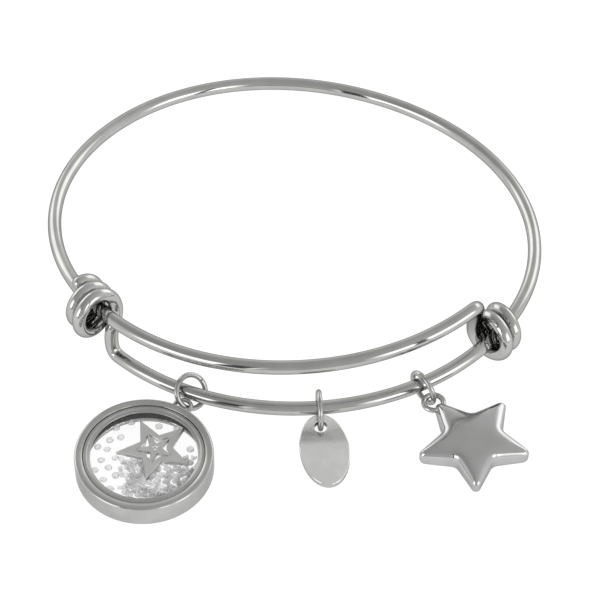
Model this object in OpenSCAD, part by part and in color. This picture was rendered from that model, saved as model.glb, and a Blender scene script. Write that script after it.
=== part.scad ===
// Expandable charm bangle lying on its side: one bent wire with a coil at each end, and three
// charms on jump rings. The origin is the middle of the loop on the surface, +Y to the back.

/* [Wire] */
// Diameter of the bangle's wire
wire_d = 1.8; // [1.4:0.05:2.2]
// Width of the loop between wire middles
loop_w = 63.7; // [58:0.1:74]
// Depth of the loop between wire middles
loop_d = 58.9; // [54:0.1:68]
// Lean of the hand-bent loop to one side
loop_lean = -0.52; // [-0.8:0.02:0.8]
// Three-sided unevenness of the loop, front to back
loop_lobe = -0.11; // [-0.3:0.01:0.3]
// Three-sided unevenness of the loop, side to side
loop_lobe_side = 0.13; // [-0.3:0.01:0.3]
// Extra bulge of the lower run to the front
lower_bulge = 0.1; // [0:0.05:0.3]
// Height of the lower run where it meets the left coil
lower_left_z = 1.3; // [1.2:0.05:1.5]
// Height of the lower run inside the right coil, where it rests low in the coil
lower_right_z = 2.85; // [2.8:0.05:3]
// Height of the upper run at the left coil
upper_left_z = 7.9; // [7.5:0.1:9.5]
// Height of the upper run at the right coil
upper_right_z = 12.45; // [11:0.05:13]

/* [Coils] */
// Angle of the left coil below the loop's widest line
left_coil_angle = 33.5; // [33:0.1:36]
// Angle of the right coil below the loop's widest line
right_coil_angle = 34.2; // [33:0.1:36]
// Turns in the left coil
left_turns = 2.25; // [2.15:0.05:2.4]
// Turns in the right coil
right_turns = 2.05; // [1.9:0.05:2.3]
// Space between neighbouring turns
turn_gap = 0.17; // [0.16:0.01:0.25]
// Free space round the wire inside the left coil
left_room = 1.1; // [1:0.05:1.3]
// Free space round the wire inside the right coil
right_room = 0.8; // [0.75:0.05:1]
// How far the left coil sags outward on the wire
left_sag_out = 0.65; // [0.2:0.05:0.7]
// How far the left coil sags down on the wire
left_sag_down = 0.4; // [0.1:0.05:0.45]
// Tilt of the left coil, its overlap side up
left_tilt = 4; // [0:1:5]
// Lean of the turns, their inner sides away from the overlap
turn_lean = 9; // [0:1:10]
// How much tighter each turn of the left coil is than the one before it
left_taper = 0.2; // [0:0.01:0.25]
// How much tighter each turn of the right coil is than the one before it
right_taper = 0.15; // [0:0.01:0.2]
// Angle between the left coil and the end of the lower run
left_lead = 8.5; // [6:0.5:9.5]
// Angle between the right coil and the end of the upper run
right_lead = 10; // [8:0.5:11]

/* [Jump rings] */
// Room beside the wire in the locket's and the star's jump rings
jump_room = 1.8; // [1.75:0.05:2]
// Room beside the wire in the tag's jump ring
tag_jump_room = 2.2; // [2.1:0.05:2.4]
// Thickness of the jump rings' wire
jump_wire = 0.7; // [0.5:0.05:0.7]
// Angle of the cut where a jump ring closes
jump_slit = 3; // [2:0.5:6]
// Place of the locket's jump ring: its angle round the loop
locket_jump_angle = 244.6; // [243:0.2:246]
// Place of the tag's jump ring: its angle round the loop
tag_jump_angle = 276.3; // [274:0.2:279]
// Place of the star's jump ring: its angle round the loop
star_jump_angle = 302.6; // [301:0.2:304]

/* [Locket] */
// Outer diameter of the locket
locket_d = 17.4; // [15.4:0.1:18]
// Height of the locket's side wall
locket_h = 3.2; // [3:0.1:4]
// Width of the case's rim
rim_w = 1.05; // [0.9:0.05:1.3]
// Width of the sloping bezel between rim and glass
bezel_w = 0.95; // [0.7:0.05:1.2]
// Thickness of the case's back lip
back_lip = 0.4; // [0.3:0.05:0.5]
// Thickness of each glass
glass_t = 0.38; // [0.3:0.02:0.4]
// Fitting clearance between the locket's pieces
fit = 0.05; // [0.03:0.01:0.08]
// Outer diameter of the soldered loop
locket_loop_d = 2.7; // [2.6:0.05:3]
// Thickness of the soldered loop
locket_loop_wire = 0.55; // [0.45:0.05:0.6]
// Direction of the soldered loop from the locket's middle
locket_loop_angle = 62.5; // [58:0.5:66]

/* [Locket filling] */
// Distance from the small star's middle to its tips
small_star_r = 4.85; // [4.4:0.05:5]
// Thickness of the small star
small_star_t = 0.65; // [0.4:0.05:0.65]
// Width of the small star's frame
small_star_bar = 0.6; // [0.45:0.05:0.7]
// Distance from the small star's middle to the notches of its inner star
inner_notch_r = 0.8; // [0.65:0.05:0.9]
// Turn of the small star
small_star_turn = 24.5; // [0:0.5:71.5]
// Diameter of a stone
stone_d = 1; // [0.8:0.05:1]
// Height of a stone
stone_h = 0.62; // [0.5:0.02:0.65]
// Space between neighbouring stones
stone_gap = 0.14; // [0.12:0.01:0.3]

/* [Oval tag] */
// Length of the tag
tag_l = 10.35; // [9.6:0.05:11.5]
// Width of the tag
tag_w = 6.25; // [5:0.05:7]
// Thickness of the tag
tag_t = 0.9; // [0.7:0.05:1]
// Bevel round the tag's edges
tag_bevel = 0.15; // [0.1:0.05:0.25]
// Diameter of the tag's hole
tag_hole_d = 1.6; // [1.45:0.05:1.7]
// Distance from the tag's top to the middle of its hole
tag_hole_in = 1.85; // [1.8:0.05:2]
// Turn of the tag on the surface
tag_turn = 8.5; // [4:0.5:10]

/* [Star charm] */
// Distance from the star's middle to its tips, before rounding
star_r = 7.9; // [7.2:0.05:8.1]
// Distance from the star's middle to its notches, before rounding
star_notch_r = 4; // [3.5:0.05:4.5]
// Rounding of the star's tips
star_tip_round = 0.6; // [0.4:0.05:0.7]
// Rounding of the star's notches
star_notch_round = 1.3; // [0.8:0.1:1.6]
// Thickness of the star at its edge
star_edge_t = 1.7; // [1.3:0.1:2]
// Thickness of the star at its middle
star_t = 3.1; // [2.6:0.1:3.6]
// Outer diameter of the star's soldered loop
star_loop_d = 3.2; // [3:0.05:3.4]
// Thickness of the star's soldered loop
star_loop_wire = 0.7; // [0.6:0.05:0.8]

/* [Hidden] */
$fn = 64;

steel = [0.78, 0.78, 0.77];
glass = [0.85, 0.92, 0.95, 0.35];
crystal = [0.93, 0.95, 0.97];

wire_r = wire_d / 2;
wire_sides = 12;
run_step = 5;
turn_steps = 24;
leg_steps = 12;
left_r = wire_d + left_room;
right_r = wire_d + right_room;
turn_pitch = wire_d + turn_gap;
left_angle = 180 + left_coil_angle;
right_angle = 360 - right_coil_angle;
back_start = -right_coil_angle;
overlap_angle = right_angle - left_angle;
// Half the angle over which the wire eases from one slope to the next
ease = 8;
// Pull of each leg's curve at its coil and at its run, as a share of the leg's height
left_pull = [0.35, 0.4];
right_pull = [0.3, 0.25];
// Steps of the left coil's last turn past its inner side, toward its leg
left_tail = 3;

function mix(a, b, share) = a + (b - a) * share;
function unit(v) = v / norm(v);
function total(list, i = 0) = i < len(list) ? list[i] + total(list, i + 1) : 0;

// The loop seen from above
function loop_r(a) = loop_w * loop_d / 2 / sqrt(pow(loop_d * cos(a), 2) + pow(loop_w * sin(a), 2))
    + loop_lean * sin(2 * a) + loop_lobe * sin(3 * a) + loop_lobe_side * cos(3 * a)
    + (a < back_start ? lower_bulge * sin(180 * min(1, 1 + (a - back_start) / overlap_angle)) : 0);

// The height of the wire's middle along its run. Angles from back_start to left_angle are the
// way round the back, where it comes down to the surface; the rest are the two front runs.
function back_share(a) = (a - back_start) / (left_angle - back_start);
function back_climb(a) = mix(lower_right_z, upper_left_z, back_share(a));
function back_dip(a) = let (low = sin(mix(back_start, 180 - left_angle, back_share(a))))
    (sin(a) - low) / (1 - low);
back_drop = min([for (a = [50 : 4 : 150]) (back_climb(a) - wire_r) / back_dip(a)]);
function bent_z(a) =
    a < back_start ? mix(lower_left_z, lower_right_z, (a - back_start) / overlap_angle + 1) :
    a > left_angle ? mix(upper_left_z, upper_right_z, (a - left_angle) / overlap_angle) :
    back_climb(a) - back_drop * back_dip(a);
function run_z(a) = total([for (k = [-2 : 2]) bent_z(a + k * ease / 2)]) / 5;
function run_point(a) = [loop_r(a) * cos(a), loop_r(a) * sin(a), run_z(a)];
function run_way(a) = unit(run_point(a + 1) - run_point(a - 1));
function inward(a) = unit(cross([0, 0, 1], run_way(a)));

// A coil's turns, counted from its leg. Both legs come to the inner side of the wire. The right
// coil stands on the surface and the wire rests low in it. The left coil hangs on the wire.
left_half = turn_pitch * left_turns / 2;
right_half = turn_pitch * right_turns / 2;
left_run_way = run_way(left_angle);
left_way = unit(left_run_way + tan(left_tilt) * cross(left_run_way, inward(left_angle)));
left_in = unit(cross([0, 0, 1], left_way));
left_sag = -left_sag_out * inward(left_angle) - [0, 0, left_sag_down];
left_mid = run_point(left_angle) + left_sag;
right_mid = run_point(back_start);
right_way = run_way(back_start);
right_in = inward(back_start);
function left_turn(u) = let (r = left_r - left_taper * u)
    left_mid - left_taper * u * unit(left_sag) + (left_half - turn_pitch * u) * left_way
    + r * cos(360 * u) * (cos(turn_lean) * left_in - sin(turn_lean) * left_way)
    + r * sin(360 * u) * cross(left_way, left_in);
function right_turn(u) = let (r = right_r - right_taper * u)
    [right_mid[0], right_mid[1], r + wire_r] - (right_half - turn_pitch * u) * right_way
    + r * cos(360 * u) * (cos(turn_lean) * right_in + sin(turn_lean) * right_way)
    - r * sin(360 * u) * cross(right_way, right_in);

// A leg between a coil and the end of a run
function bezier(p, t) = pow(1 - t, 3) * p[0] + 3 * t * pow(1 - t, 2) * p[1]
    + 3 * t * t * (1 - t) * p[2] + pow(t, 3) * p[3];
function leg(from, from_way, to, to_way, pull) = let (h = abs(from[2] - to[2]))
    [for (i = [1 : leg_steps - 1]) bezier([from, from + pull[0] * h * from_way,
    to - pull[1] * h * to_way, to], i / leg_steps)];

run_start = left_angle - 360 + left_lead;
run_end = right_angle - right_lead;
run_rings = round((run_end - run_start) / run_step);
left_end = left_turn(-left_tail / turn_steps);
left_end_way = unit(left_end - left_turn(0.01 - left_tail / turn_steps));
right_end_way = unit(right_turn(0.01) - right_turn(0));
left_coil = [for (i = [round(left_turns * turn_steps) : -1 : -left_tail])
    left_turn(i / turn_steps)];
right_coil = [for (i = [0 : round(right_turns * turn_steps)]) right_turn(i / turn_steps)];
runs = [for (i = [0 : run_rings]) run_point(mix(run_start, run_end, i / run_rings))];
left_leg = leg(left_end, left_end_way, runs[0], run_way(run_start), left_pull);
back_leg = leg(right_turn(0), -right_end_way, runs[run_rings], -run_way(run_end), right_pull);
right_leg = [for (i = [len(back_leg) - 1 : -1 : 0]) back_leg[i]];
wire_path = concat(left_coil, left_leg, runs, right_leg, right_coil);

// A tube along a path, with domed ends
function ways(p) = [for (i = [0 : len(p) - 1])
    unit(p[min(i + 1, len(p) - 1)] - p[max(i - 1, 0)])];
function aside(v, way) = unit(v - (v * way) * way);
function sides_of(w) = [for (i = 0, v = aside([0.1, 0.2, 1], w[0]); i < len(w);
    i = i + 1, v = aside(v, w[min(i, len(w) - 1)])) v];
dome = [[0.45, 0.92], [0.85, 0.6], [1, 0.25]];

module tube(path, r, sides) {
    w = ways(path);
    v = sides_of(w);
    last = len(path) - 1;
    rings = concat(
        [for (i = [len(dome) - 1 : -1 : 0]) [path[0] - r * dome[i][0] * w[0], 0, r * dome[i][1]]],
        [for (i = [0 : last]) [path[i], i, r]],
        [for (d = dome) [path[last] + r * d[0] * w[last], last, r * d[1]]]);
    points = [for (g = rings, k = [0 : sides - 1]) let (i = g[1])
        g[0] + g[2] * (cos(360 * k / sides) * v[i] + sin(360 * k / sides) * cross(w[i], v[i]))];
    faces = concat([[for (k = [0 : sides - 1]) k]],
        [for (g = [0 : len(rings) - 2], k = [0 : sides - 1]) let (n = (k + 1) % sides)
            [g * sides + k, (g + 1) * sides + k, (g + 1) * sides + n, g * sides + n]],
        [[for (k = [sides - 1 : -1 : 0]) (len(rings) - 1) * sides + k]]);
    polyhedron(points, faces);
}

module bangle_wire() {
    color(steel) tube(wire_path, wire_r, wire_sides);
}

// A round wire bent into a ring, lying flat
module wire_ring(ring_r, wire_t, cut = 0) {
    rotate([0, 0, cut / 2]) rotate_extrude(angle = 360 - cut) translate([ring_r, 0])
        circle(d = wire_t);
}

// Each jump ring stands on the surface and hangs on the lower run, its middle beside the wire by
// the given amounts. Lean and turn aim its axis, and the slit is where the ring closes.
jump_r = (wire_d + jump_room + jump_wire) / 2;
tag_jump_r = (wire_d + tag_jump_room + jump_wire) / 2;
locket_jump_aim = [49.3, -41.1];
tag_jump_aim = [90, 4];
star_jump_aim = [87.7, 35.7];
jump_fit = 0.08;
lift = 0.01;

function jump_at(angle, r, aim, beside) = let (p = run_point(angle - 360))
    [p[0] + beside[0], p[1] + beside[1], r * sin(aim[0]) + jump_wire / 2 + lift];
tag_jump_rise = tag_jump_r + jump_wire / 2 + lift - run_point(tag_jump_angle - 360)[2];
tag_jump_front = -sqrt(pow(tag_jump_room / 2 - jump_fit, 2) - pow(tag_jump_rise, 2));
locket_jump_at = jump_at(locket_jump_angle, jump_r, locket_jump_aim,
    jump_room / 2 * [-0.392, 0.144]);
tag_jump_at = jump_at(tag_jump_angle, tag_jump_r, tag_jump_aim, [0, tag_jump_front]);
star_jump_at = jump_at(star_jump_angle, jump_r, star_jump_aim, jump_room / 2 * [0, -0.8]);

// The point at height z on a jump ring's front half, where a charm hangs
function hung_at(at, r, aim, z) = let (c = (at[2] - z) / (r * sin(aim[0])),
    x = r * c * cos(aim[0]), y = -r * sqrt(1 - c * c))
    [at[0] + x * cos(aim[1]) - y * sin(aim[1]), at[1] + x * sin(aim[1]) + y * cos(aim[1]), z];

// Where each ring closes, counted round the ring
locket_slit_at = 100;
tag_slit_at = 150;
star_slit_at = 170;

module jump_ring(at, r, aim, slit_at) {
    color(steel) translate(at) rotate([0, aim[0], aim[1]]) rotate([0, 0, slit_at])
        wire_ring(r, jump_wire, jump_slit);
}

module locket_jump_ring() { jump_ring(locket_jump_at, jump_r, locket_jump_aim, locket_slit_at); }
module tag_jump_ring() { jump_ring(tag_jump_at, tag_jump_r, tag_jump_aim, tag_slit_at); }
module star_jump_ring() { jump_ring(star_jump_at, jump_r, star_jump_aim, star_slit_at); }

// The locket hangs by its soldered loop, whose middle lies beside the jump ring's wire by the slack
locket_r = locket_d / 2;
bore_r = locket_r - rim_w;
window_r = bore_r - bezel_w;
bezel_out = bore_r - fit;
bezel_wall = 0.28;
cavity_r = bezel_out - bezel_wall;
back_ledge = 0.15;
back_window_r = bore_r - back_ledge;
back_glass_top = back_lip + fit + glass_t;
glass_down = 0.5;
front_glass_top = locket_h - glass_down;
front_glass_z = front_glass_top - glass_t;
glass_grip = 0.12;
locket_loop_r = (locket_loop_d - locket_loop_wire) / 2;
loop_seat = 0.27;
locket_loop_out = locket_r + locket_loop_d / 2 - loop_seat;
locket_loop_z = locket_h / 2 - 0.1;
locket_hung = hung_at(locket_jump_at, jump_r, locket_jump_aim, locket_loop_z);
locket_slack = [0.003, -0.228];
locket_at = [locket_hung[0] + locket_slack[0] - locket_loop_out * cos(locket_loop_angle),
    locket_hung[1] + locket_slack[1] - locket_loop_out * sin(locket_loop_angle), 0];

module locket_place() { translate(locket_at) children(); }

// Rounding of the case's outer edges, in steps of this angle
case_edge = 0.35;
edge_step = 15;

module locket_case() {
    color(steel) locket_place() union() {
        rotate_extrude() polygon(concat(
            [[back_window_r, 0]],
            [for (a = [-90 : edge_step : 0])
                [locket_r - case_edge + case_edge * cos(a), case_edge + case_edge * sin(a)]],
            [for (a = [0 : edge_step : 90]) [locket_r - case_edge + case_edge * cos(a),
                locket_h - case_edge + case_edge * sin(a)]],
            [[bore_r, locket_h], [bore_r, back_lip], [back_window_r, back_lip]]));
        rotate([0, 0, locket_loop_angle]) translate([locket_loop_out, 0, locket_loop_z])
            wire_ring(locket_loop_r, locket_loop_wire);
    }
}

// The bezel's top: a flat band a little under the rim, a small step, and a slope to the glass.
// Columns: place as a share of the way from the case to the window, depth under the rim
bezel_top = [[0, 0.22], [0.12, 0.1], [0.45, 0.1], [0.55, 0.2], [1, glass_down - 0.2]];

module locket_bezel() {
    seat_top = front_glass_top + fit / 2;
    seat_low = seat_top - glass_t - fit;
    color(steel) locket_place() rotate_extrude() polygon(concat(
        [[cavity_r, back_glass_top + fit], [bezel_out, back_glass_top + fit]],
        [for (p = bezel_top) [mix(bezel_out, window_r, p[0]), locket_h - p[1]]],
        [[window_r, seat_top], [cavity_r + glass_grip, seat_top],
            [cavity_r + glass_grip, seat_low], [cavity_r, seat_low]]));
}

module locket_front_glass() {
    color(glass) locket_place() translate([0, 0, front_glass_z])
        cylinder(h = glass_t, r = cavity_r + glass_grip - fit);
}

module locket_back_glass() {
    color(glass) locket_place() translate([0, 0, back_lip + fit / 2])
        cylinder(h = glass_t, r = bore_r - fit);
}

// The pierced star: a frame, and a smaller star in it that meets the frame in its arms
star_top = front_glass_z - fit;
small_star_at = [1.3, 1.5];

function star_points(tip, notch) = [for (i = [0 : 9]) let (r = i % 2 == 0 ? tip : notch)
    [-r * sin(36 * i), r * cos(36 * i)]];

// A five-pointed star's notches lie at this share of its tips when its sides run straight
straight_notch = sin(18) / sin(54);
// How much further out the small star's notches lie
small_notch_share = 1.15;
// Length of the frame's mitre at a notch, for each part of its width
notch_mitre = 1.18;
// Reach of the openings into the arms, as a share of the star's tips
opening_share = 0.475;
// Half the width of the metal left where inner star and frame meet
half_neck = 0.12;
middle_hole_r = 0.3;

// One opening lies on each notch, four-sided, and points into the arms beside it
module small_star_outline() {
    notch = small_star_r * straight_notch * small_notch_share;
    reach = small_star_r * opening_share;
    side = [reach * sin(36) - half_neck * cos(36), reach * cos(36) + half_neck * sin(36)];
    difference() {
        polygon(star_points(small_star_r, notch));
        for (i = [0 : 4]) rotate(72 * i + 36) polygon([[0, inner_notch_r], side,
            [0, notch - notch_mitre * small_star_bar], [-side[0], side[1]]]);
        circle(r = middle_hole_r, $fn = 5);
    }
}

module locket_star() {
    color(steel) locket_place() translate([small_star_at[0], small_star_at[1],
        star_top - small_star_t]) rotate([0, 0, small_star_turn])
        linear_extrude(small_star_t) small_star_outline();
}

// The stones: a close heap at the front right, and single ones at the places listed here
stone_pitch = stone_d + stone_gap;
stone_z = back_glass_top + fit;
stone_field_r = cavity_r - stone_d / 2 - 1.6 * fit;
heap_left = -0.386 * stone_field_r;
heap_back = 0.089 * stone_field_r;
// Columns: place to the side and to the back, as shares of the space inside the locket
single_stones = [[-0.56, 0.8], [-0.28, 0.93], [0.24, 0.84], [0.58, 0.78], [-0.46, 0.58],
    [-0.88, 0.36], [-0.7, 0.3], [-0.8, 0.05], [-0.66, -0.12], [-0.91, -0.18], [-0.54, 0.1],
    [-0.74, -0.4], [-0.52, -0.3], [-0.6, -0.6], [0.84, 0.3], [-0.66, 0.52]];

// Each stone's flat top and widest line, as shares of its diameter and height
table_share = 0.28;
girdle_share = 0.65;

module stone() {
    table_r = stone_d * table_share;
    girdle_z = stone_h * girdle_share;
    rotate_extrude($fn = 8) polygon([[0, 0], [stone_d / 2, girdle_z], [table_r, stone_h],
        [0, stone_h]]);
}

module locket_crystals() {
    rows = ceil(stone_field_r / stone_pitch) + 1;
    color(crystal) locket_place() translate([0, 0, stone_z]) {
        for (row = [-rows : rows], col = [-rows : rows]) {
            at = [(col + (row % 2 == 0 ? 0 : 0.5)) * stone_pitch, row * stone_pitch * sin(60)];
            if (norm(at) < stone_field_r && at[0] > heap_left && at[1] < heap_back)
                translate(at) rotate([0, 0, 19 * row + 31 * col]) stone();
        }
        for (at = single_stones) translate(at * stone_field_r) stone();
    }
}

// The oval tag leans on its jump ring, which passes under its top end and up through its hole
tag_rise_share = 0.18;
tag_rise = tag_rise_share * (2 * tag_jump_r + jump_wire);
tag_reach = tag_l - tag_hole_in;
tag_lean = asin((tag_rise - lift) / tag_reach);
tag_slack = [0, 0.08, 0];
tag_hung = tag_slack + hung_at(tag_jump_at, tag_jump_r, tag_jump_aim, tag_rise + tag_t / 2);

module oval_plate(grow, h) {
    scale([(tag_w + 2 * grow) / (tag_l + 2 * grow), 1, 1]) cylinder(h = h, d = tag_l + 2 * grow);
}

module oval_tag() {
    color(steel) translate(tag_hung) rotate([tag_lean, 0, 0]) rotate([0, 0, tag_turn])
        translate([0, tag_hole_in - tag_l / 2, -tag_t / 2]) difference() {
            union() {
                oval_plate(-tag_bevel, tag_t);
                translate([0, 0, tag_bevel]) oval_plate(0, tag_t - 2 * tag_bevel);
            }
            translate([0, tag_l / 2 - tag_hole_in, -tag_t]) cylinder(h = 3 * tag_t, d = tag_hole_d);
        }
}

// The puffed star: its outline with round tips and notches, drawn in toward the middle and up
function rounded(points, i, r) = let (n = len(points), a = points[(i + n - 1) % n], b = points[i],
    c = points[(i + 1) % n], u = unit(a - b), v = unit(c - b), half = acos(u * v) / 2,
    mid = b + r / sin(half) * unit(u + v), from = b + r / tan(half) * u - mid,
    to = b + r / tan(half) * v - mid, start = atan2(from[1], from[0]),
    swing = atan2(cross(from, to), from * to))
    [for (k = [0 : 3]) mid + r * [cos(start + swing * k / 3), sin(start + swing * k / 3)]];

star_outline = let (p = star_points(star_r, star_notch_r))
    [for (i = [0 : 9]) each rounded(p, i, i % 2 == 0 ? star_tip_round : star_notch_round)];
// Columns: size as a share of the outline, height as a share of the edge's or the crown's
star_sections = [[0.94, 0, 0], [1, 0.16, 0], [1, 0.88, 0], [0.96, 1, 0.12], [0.85, 1, 0.42],
    [0.65, 1, 0.72], [0.4, 1, 0.92], [0.15, 1, 1]];
star_turn = 1;
star_loop_r = (star_loop_d - star_loop_wire) / 2;
star_loop_angle = 128;
star_loop_out = star_r - 0.3;
star_loop_z = star_edge_t;
star_hung = hung_at(star_jump_at, jump_r, star_jump_aim, star_loop_z);
star_slack = [0.09, -0.2];
star_at = [star_hung[0] + star_slack[0] - star_loop_out * cos(star_turn + star_loop_angle),
    star_hung[1] + star_slack[1] - star_loop_out * sin(star_turn + star_loop_angle), 0];

module puffed_star() {
    n = len(star_outline);
    rings = len(star_sections);
    crown = star_t - star_edge_t;
    points = [for (s = star_sections, p = star_outline)
        [s[0] * p[0], s[0] * p[1], s[1] * star_edge_t + s[2] * crown]];
    faces = concat([[for (k = [0 : n - 1]) k]],
        [for (g = [0 : rings - 2], k = [0 : n - 1]) let (m = (k + 1) % n)
            [g * n + k, (g + 1) * n + k, (g + 1) * n + m, g * n + m]],
        [[for (k = [n - 1 : -1 : 0]) (rings - 1) * n + k]]);
    polyhedron(points, faces);
}

module star_charm() {
    color(steel) translate(star_at) rotate([0, 0, star_turn]) union() {
        rotate([0, 0, 180]) puffed_star();
        rotate([0, 0, star_loop_angle]) translate([star_loop_out, 0, star_loop_z])
            wire_ring(star_loop_r, star_loop_wire);
    }
}

bangle_wire();
locket_case();
locket_bezel();
locket_front_glass();
locket_back_glass();
locket_star();
locket_crystals();
locket_jump_ring();
oval_tag();
tag_jump_ring();
star_charm();
star_jump_ring();
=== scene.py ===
import random
from math import acos, asin, atan2, ceil, cos, exp, inf, pi, radians, sin, sqrt, tan

import bpy
from mathutils import Matrix, Quaternion, Vector
from mathutils.geometry import tessellate_polygon


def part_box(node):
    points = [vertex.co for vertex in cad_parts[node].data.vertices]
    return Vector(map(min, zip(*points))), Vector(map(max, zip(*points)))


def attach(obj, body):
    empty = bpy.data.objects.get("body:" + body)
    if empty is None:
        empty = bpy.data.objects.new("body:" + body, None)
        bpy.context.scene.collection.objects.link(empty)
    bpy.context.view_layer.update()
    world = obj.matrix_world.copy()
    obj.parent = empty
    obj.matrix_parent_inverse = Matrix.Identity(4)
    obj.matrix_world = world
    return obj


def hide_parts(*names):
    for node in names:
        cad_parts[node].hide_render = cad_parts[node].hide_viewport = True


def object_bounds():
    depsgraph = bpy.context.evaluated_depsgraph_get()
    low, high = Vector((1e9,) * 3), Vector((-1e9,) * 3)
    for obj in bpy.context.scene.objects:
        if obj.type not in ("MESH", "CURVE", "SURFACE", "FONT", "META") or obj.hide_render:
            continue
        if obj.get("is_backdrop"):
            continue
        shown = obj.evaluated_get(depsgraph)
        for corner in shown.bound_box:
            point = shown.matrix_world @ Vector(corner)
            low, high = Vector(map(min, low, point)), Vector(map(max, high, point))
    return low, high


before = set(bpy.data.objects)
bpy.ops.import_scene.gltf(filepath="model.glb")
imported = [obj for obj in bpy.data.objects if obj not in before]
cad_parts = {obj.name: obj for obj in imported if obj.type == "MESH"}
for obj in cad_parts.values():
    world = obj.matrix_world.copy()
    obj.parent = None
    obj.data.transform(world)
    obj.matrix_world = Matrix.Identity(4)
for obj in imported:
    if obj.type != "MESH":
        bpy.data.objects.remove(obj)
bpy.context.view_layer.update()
mm = 0.001
up = Vector((0, 0, 1))


# A socket that takes part in expressions
class Signal:
    def __init__(self, shader, socket):
        self.shader, self.socket = shader, socket

    def math(self, operation, a, b):
        return self.shader.add("ShaderNodeMath", dict(operation=operation), {0: a, 1: b})

    def __add__(self, other): return self.math("ADD", self, other)
    def __radd__(self, other): return self.math("ADD", other, self)
    def __sub__(self, other): return self.math("SUBTRACT", self, other)
    def __rsub__(self, other): return self.math("SUBTRACT", other, self)
    def __mul__(self, other): return self.math("MULTIPLY", self, other)
    def __rmul__(self, other): return self.math("MULTIPLY", other, self)
    def __truediv__(self, other): return self.math("DIVIDE", self, other)
    def __pow__(self, other): return self.math("POWER", self, other)
    def __abs__(self): return self.shader.add("ShaderNodeMath", dict(operation="ABSOLUTE"), {0: self})

    def ramp(self, low, high):
        return self.shader.add("ShaderNodeMapRange", dict(interpolation_type="SMOOTHSTEP"),
                               {"Value": self, "From Min": low, "From Max": high})


# The nodes of one material or of the surroundings
class Shader:
    def __init__(self, holder):
        holder.use_nodes = True
        self.tree = holder.node_tree
        self.tree.nodes.clear()

    def node(self, kind, settings, values):
        made = self.tree.nodes.new(kind)
        for name, value in settings.items():
            setattr(made, name, value)
        for name, value in values.items():
            if isinstance(value, Signal):
                self.tree.links.new(value.socket, made.inputs[name])
            else:
                made.inputs[name].default_value = value
        return made

    def add(self, kind, settings, values, output=0):
        return Signal(self, self.node(kind, settings, values).outputs[output])


# Meshes, each with a vector along its metal's grain at every point
grainRadius = 8 * mm


def tubeMesh(path, radius, sides, closed=False, domed=True):
    points = [Vector(p) for p in path]
    count = len(points)
    if closed:
        ways = [(points[(i + 1) % count] - points[i - 1]).normalized() for i in range(count)]
    else:
        ways = [(points[min(i + 1, count - 1)] - points[max(i - 1, 0)]).normalized() for i in range(count)]
    aside = Vector((0.1, 0.2, 1))
    rings, along, runLength = [], [], 0
    for i, (point, way) in enumerate(zip(points, ways)):
        aside = (aside - aside.dot(way) * way).normalized()
        runLength += (point - points[i - 1]).length if i else 0
        rings.append((point, way, aside.copy(), radius))
        along.append(runLength)
    if closed:
        # Spread the twist that is left when the ring meets itself over its length
        point, way, first, _ = rings[0]
        turned = (aside - aside.dot(way) * way).normalized()
        twist = atan2(way.dot(turned.cross(first)), turned.dot(first))
        rings = [(p, w, Quaternion(w, twist * i / count) @ s, r) for i, (p, w, s, r) in enumerate(rings)]
    elif domed:
        dome = [radians(a) for a in (15, 30, 45, 60, 75, 86)]
        head, tail = rings[0], rings[-1]
        start = [(head[0] - head[1] * radius * sin(a), head[1], head[2], radius * cos(a))
                 for a in reversed(dome)]
        end = [(tail[0] + tail[1] * radius * sin(a), tail[1], tail[2], radius * cos(a)) for a in dome]
        rings = start + rings + end
        along = [along[0]] * len(start) + along + [along[-1]] * len(end)
    verts, grain = [], []
    for (point, way, side, r), length in zip(rings, along):
        other = way.cross(side)
        for k in range(sides):
            a = 2 * pi * k / sides
            verts.append(point + r * (cos(a) * side + sin(a) * other))
            grain.append((length, radius * cos(a), radius * sin(a)))
    total = len(rings)
    faces = [(g * sides + k, g * sides + (k + 1) % sides,
              (g + 1) % total * sides + (k + 1) % sides, (g + 1) % total * sides + k)
             for g in range(total if closed else total - 1) for k in range(sides)]
    if not closed:
        faces.append(tuple(reversed(range(sides))))
        faces.append(tuple(range((total - 1) * sides, total * sides)))
    return verts, faces, grain


# A closed outline of (radius, height) turned round the upright axis at a middle
def turnedMesh(outline, middle, segments):
    verts, grain = [], []
    for s in range(segments):
        a = 2 * pi * s / segments
        for r, z in outline:
            verts.append(Vector((middle[0] + r * cos(a), middle[1] + r * sin(a), z)))
            grain.append((a * grainRadius, r, z))
    n = len(outline)
    faces = [(s * n + k, (s + 1) % segments * n + k,
              (s + 1) % segments * n + (k + 1) % n, s * n + (k + 1) % n)
             for s in range(segments) for k in range(n)]
    return verts, faces, grain


# Round every corner of a (x, y) outline by a small radius, with a few points for each
def softened(outline, radius, steps):
    made, mostOfSide = [], 0.45
    count = len(outline)
    for i in range(count):
        a, b, c = (Vector(outline[j % count]) for j in (i - 1 + count, i, i + 1))
        u, v = a - b, c - b
        reach = min(radius, u.length * mostOfSide, v.length * mostOfSide)
        start, end = b + u.normalized() * reach, b + v.normalized() * reach
        for k in range(steps + 1):
            t = k / steps
            made.append(tuple((1 - t) ** 2 * start + 2 * t * (1 - t) * b + t * t * end))
    return made


def makePiece(name, mesh, material, replaced):
    verts, faces, grain = mesh
    data = bpy.data.meshes.new(name)
    data.from_pydata([tuple(v) for v in verts], [], faces)
    data.validate()
    layer = data.attributes.new("grain", "FLOAT_VECTOR", "POINT")
    layer.data.foreach_set("vector", [x for g in grain for x in g])
    data.polygons.foreach_set("use_smooth", [True] * len(data.polygons))
    data.materials.append(material)
    piece = bpy.data.objects.new(name, data)
    bpy.context.scene.collection.objects.link(piece)
    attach(piece, "root")
    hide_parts(*replaced)
    return piece


def joinMeshes(*meshes):
    verts, faces, grain = [], [], []
    for v, f, g in meshes:
        faces += [tuple(i + len(verts) for i in face) for face in f]
        verts += v
        grain += g
    return verts, faces, grain


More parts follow.
